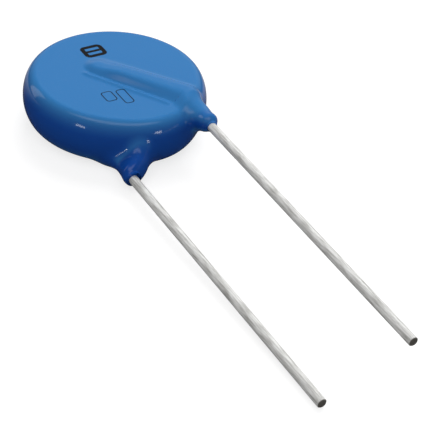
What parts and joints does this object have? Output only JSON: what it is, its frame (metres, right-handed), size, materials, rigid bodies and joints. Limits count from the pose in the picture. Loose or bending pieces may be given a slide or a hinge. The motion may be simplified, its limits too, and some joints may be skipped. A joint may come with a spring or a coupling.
{
  "type": "metal oxide varistor",
  "caption": "Round disc varistor dipped in glossy blue epoxy, with straight radial wire leads, for clamping voltage surges on a circuit board.",
  "frame": {"origin": "centre of the bounding box in X and Y, on the surface that the part lies on", "axes": "+Y from the leads' cut ends towards the disc, +Z from the back face towards the front face, +X to the right when looking at the front face with the leads pointing down"},
  "size_m": [0.016, 0.0465, 0.0053],
  "materials": {
    "blue_epoxy": "gloss",
    "zinc_oxide": "matte",
    "fired_silver": "satin",
    "tinned_wire": "satin",
    "solder": "satin"
  },
  "bodies": {
    "root": {"coating": "blue_epoxy", "varistor_disc": "zinc_oxide", "front_electrode": "fired_silver", "back_electrode": "fired_silver", "front_lead": "tinned_wire", "back_lead": "tinned_wire", "front_solder": "solder", "back_solder": "solder"}
  },
  "joints": []
}
